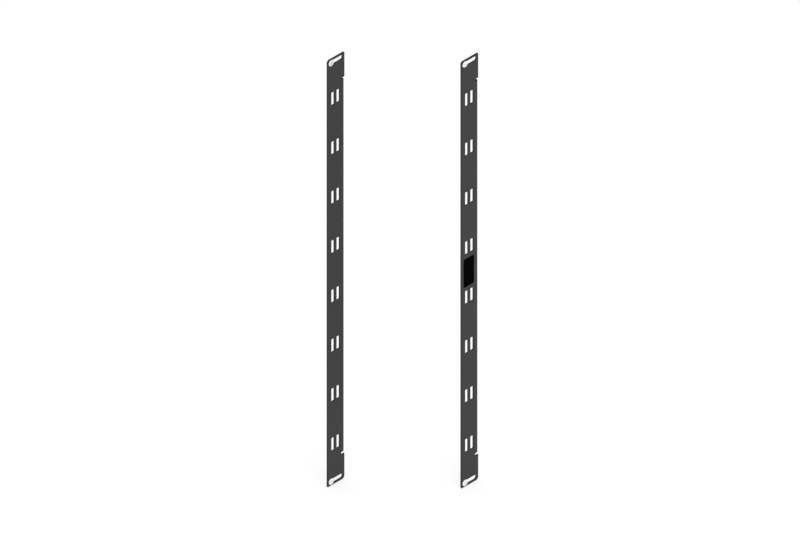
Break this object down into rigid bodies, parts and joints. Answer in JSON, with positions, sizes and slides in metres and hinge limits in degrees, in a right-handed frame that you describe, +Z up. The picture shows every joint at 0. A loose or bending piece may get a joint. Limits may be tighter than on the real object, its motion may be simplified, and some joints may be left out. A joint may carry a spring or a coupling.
{
  "type": "cable lashing bracket",
  "caption": "Folded sheet-steel rack brackets with rows of strap slots for lashing cables, a stiffening flange and end tabs with captive screws that slide to meet the frame.",
  "frame": {"origin": "midway between the screws of the left bracket at rest, in the plane where their threads start behind the web", "axes": "+Z up along the brackets, +Y to the back, where the flange is and the screws point, +X to the right along the screw slots"},
  "size_m": [0.194, 0.1701, 0.864],
  "materials": {
    "powder_coat": "fine satin powder coat",
    "zinc": "bright zinc plate",
    "nylon": "natural nylon",
    "label": "satin black film"
  },
  "bodies": {
    "brackets": {"left_bracket": "powder_coat", "right_bracket": "powder_coat", "label_plate": "label"},
    "left_top_slider": {"left_top_retainer": "nylon"},
    "left_top_turner": {"left_top_screw": "zinc"},
    "left_bottom_slider": {"left_bottom_retainer": "nylon"},
    "left_bottom_turner": {"left_bottom_screw": "zinc"},
    "right_top_slider": {"right_top_retainer": "nylon"},
    "right_top_turner": {"right_top_screw": "zinc"},
    "right_bottom_slider": {"right_bottom_retainer": "nylon"},
    "right_bottom_turner": {"right_bottom_screw": "zinc"}
  },
  "joints": [
    {"name": "left_top_slide", "type": "slide", "parent": "brackets", "child": "left_top_slider", "axis": [1, 0, 0], "range_m": [0, 0.022]},
    {"name": "left_top_spin", "type": "hinge", "parent": "left_top_slider", "child": "left_top_turner", "pos_m": [0, 0, 0.424], "axis": [0, 1, 0], "continuous": true},
    {"name": "left_bottom_slide", "type": "slide", "parent": "brackets", "child": "left_bottom_slider", "axis": [1, 0, 0], "range_m": [0, 0.022]},
    {"name": "left_bottom_spin", "type": "hinge", "parent": "left_bottom_slider", "child": "left_bottom_turner", "pos_m": [0, 0, -0.424], "axis": [0, 1, 0], "continuous": true},
    {"name": "right_top_slide", "type": "slide", "parent": "brackets", "child": "right_top_slider", "axis": [1, 0, 0], "range_m": [0, 0.022]},
    {"name": "right_top_spin", "type": "hinge", "parent": "right_top_slider", "child": "right_top_turner", "pos_m": [0.154, -0.159, 0.424], "axis": [0, 1, 0], "continuous": true},
    {"name": "right_bottom_slide", "type": "slide", "parent": "brackets", "child": "right_bottom_slider", "axis": [1, 0, 0], "range_m": [0, 0.022]},
    {"name": "right_bottom_spin", "type": "hinge", "parent": "right_bottom_slider", "child": "right_bottom_turner", "pos_m": [0.154, -0.159, -0.424], "axis": [0, 1, 0], "continuous": true}
  ]
}
